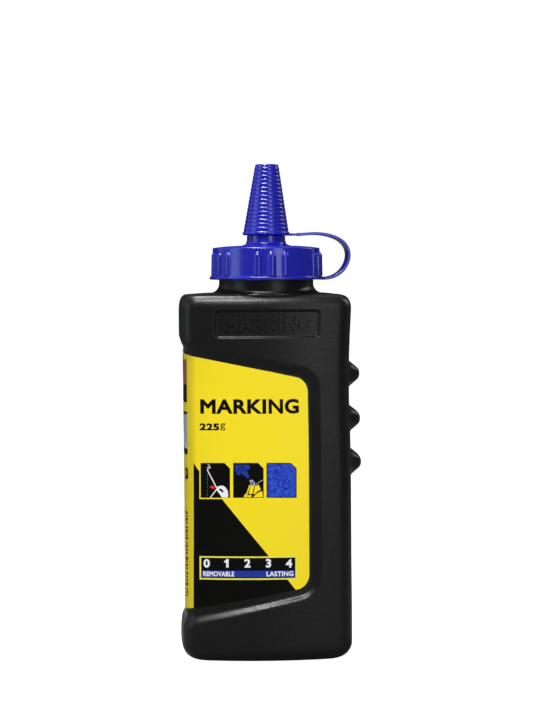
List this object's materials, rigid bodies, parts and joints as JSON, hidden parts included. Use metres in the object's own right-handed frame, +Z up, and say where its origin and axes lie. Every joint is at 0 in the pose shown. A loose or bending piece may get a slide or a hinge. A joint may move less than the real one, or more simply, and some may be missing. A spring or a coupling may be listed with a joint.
{
  "type": "chalk powder refill bottle",
  "caption": "Flat squeeze bottle of marking chalk powder with a screw cap, conical spout, ribbed tip cap on a bending strap, and a wrap-round label.",
  "frame": {"origin": "middle of the flat base, where the bottle stands", "axes": "+Z up along the neck's axis; the label's front faces -Y; the grip ribs are on the +X edge"},
  "size_m": [0.067, 0.042, 0.1808],
  "materials": {
    "bottle_black": "fine pebbled matte black",
    "label_print": "satin printed film, yellow and black",
    "powder_blue": "dry powder",
    "foil": "satin foil",
    "foam_white": "matte foam",
    "cap_blue": "glossy saturated blue"
  },
  "bodies": {
    "bottle": {"bottle": "bottle_black", "label": "label_print", "chalk_powder": "powder_blue", "foil_seal": "foil"},
    "gasket": {"foam_liner": "foam_white"},
    "cap": {"screw_cap": "cap_blue"},
    "strap_lower": {"tether_lower": "cap_blue"},
    "strap_upper": {"tether_upper": "cap_blue"},
    "tip": {"tip_cap": "cap_blue"}
  },
  "joints": [
    {"name": "cap_rise", "type": "slide", "parent": "bottle", "child": "gasket", "axis": [0, 0, 1], "range_m": [0, 0.00425]},
    {"name": "cap_turn", "type": "hinge", "parent": "gasket", "child": "cap", "pos_m": [0, 0, 0.144], "axis": [0, 0, 1], "range_deg": [0, 360]},
    {"name": "tether_pull", "type": "hinge", "parent": "cap", "child": "strap_lower", "pos_m": [0.02174, 0.00383, 0.13848], "axis": [0.1736, -0.9848, 0], "range_deg": [0, 46]},
    {"name": "tether_unbend", "type": "hinge", "parent": "strap_lower", "child": "strap_upper", "pos_m": [0.03092, 0.00545, 0.1468], "axis": [0.1736, -0.9848, 0], "range_deg": [-85.5, 1]},
    {"name": "tip_level", "type": "hinge", "parent": "strap_upper", "child": "tip", "pos_m": [0.01231, 0.00217, 0.15483], "axis": [0.1736, -0.9848, 0], "range_deg": [-1, 39.5]}
  ],
  "couplings": [
    {"joint": "cap_rise", "follows": "cap_turn", "m_per_rad": 0.0006737},
    {"joint": "tether_unbend", "follows": "tether_pull", "ratio": -1.837},
    {"joint": "tip_level", "follows": "tether_pull", "ratio": 0.83696}
  ]
}
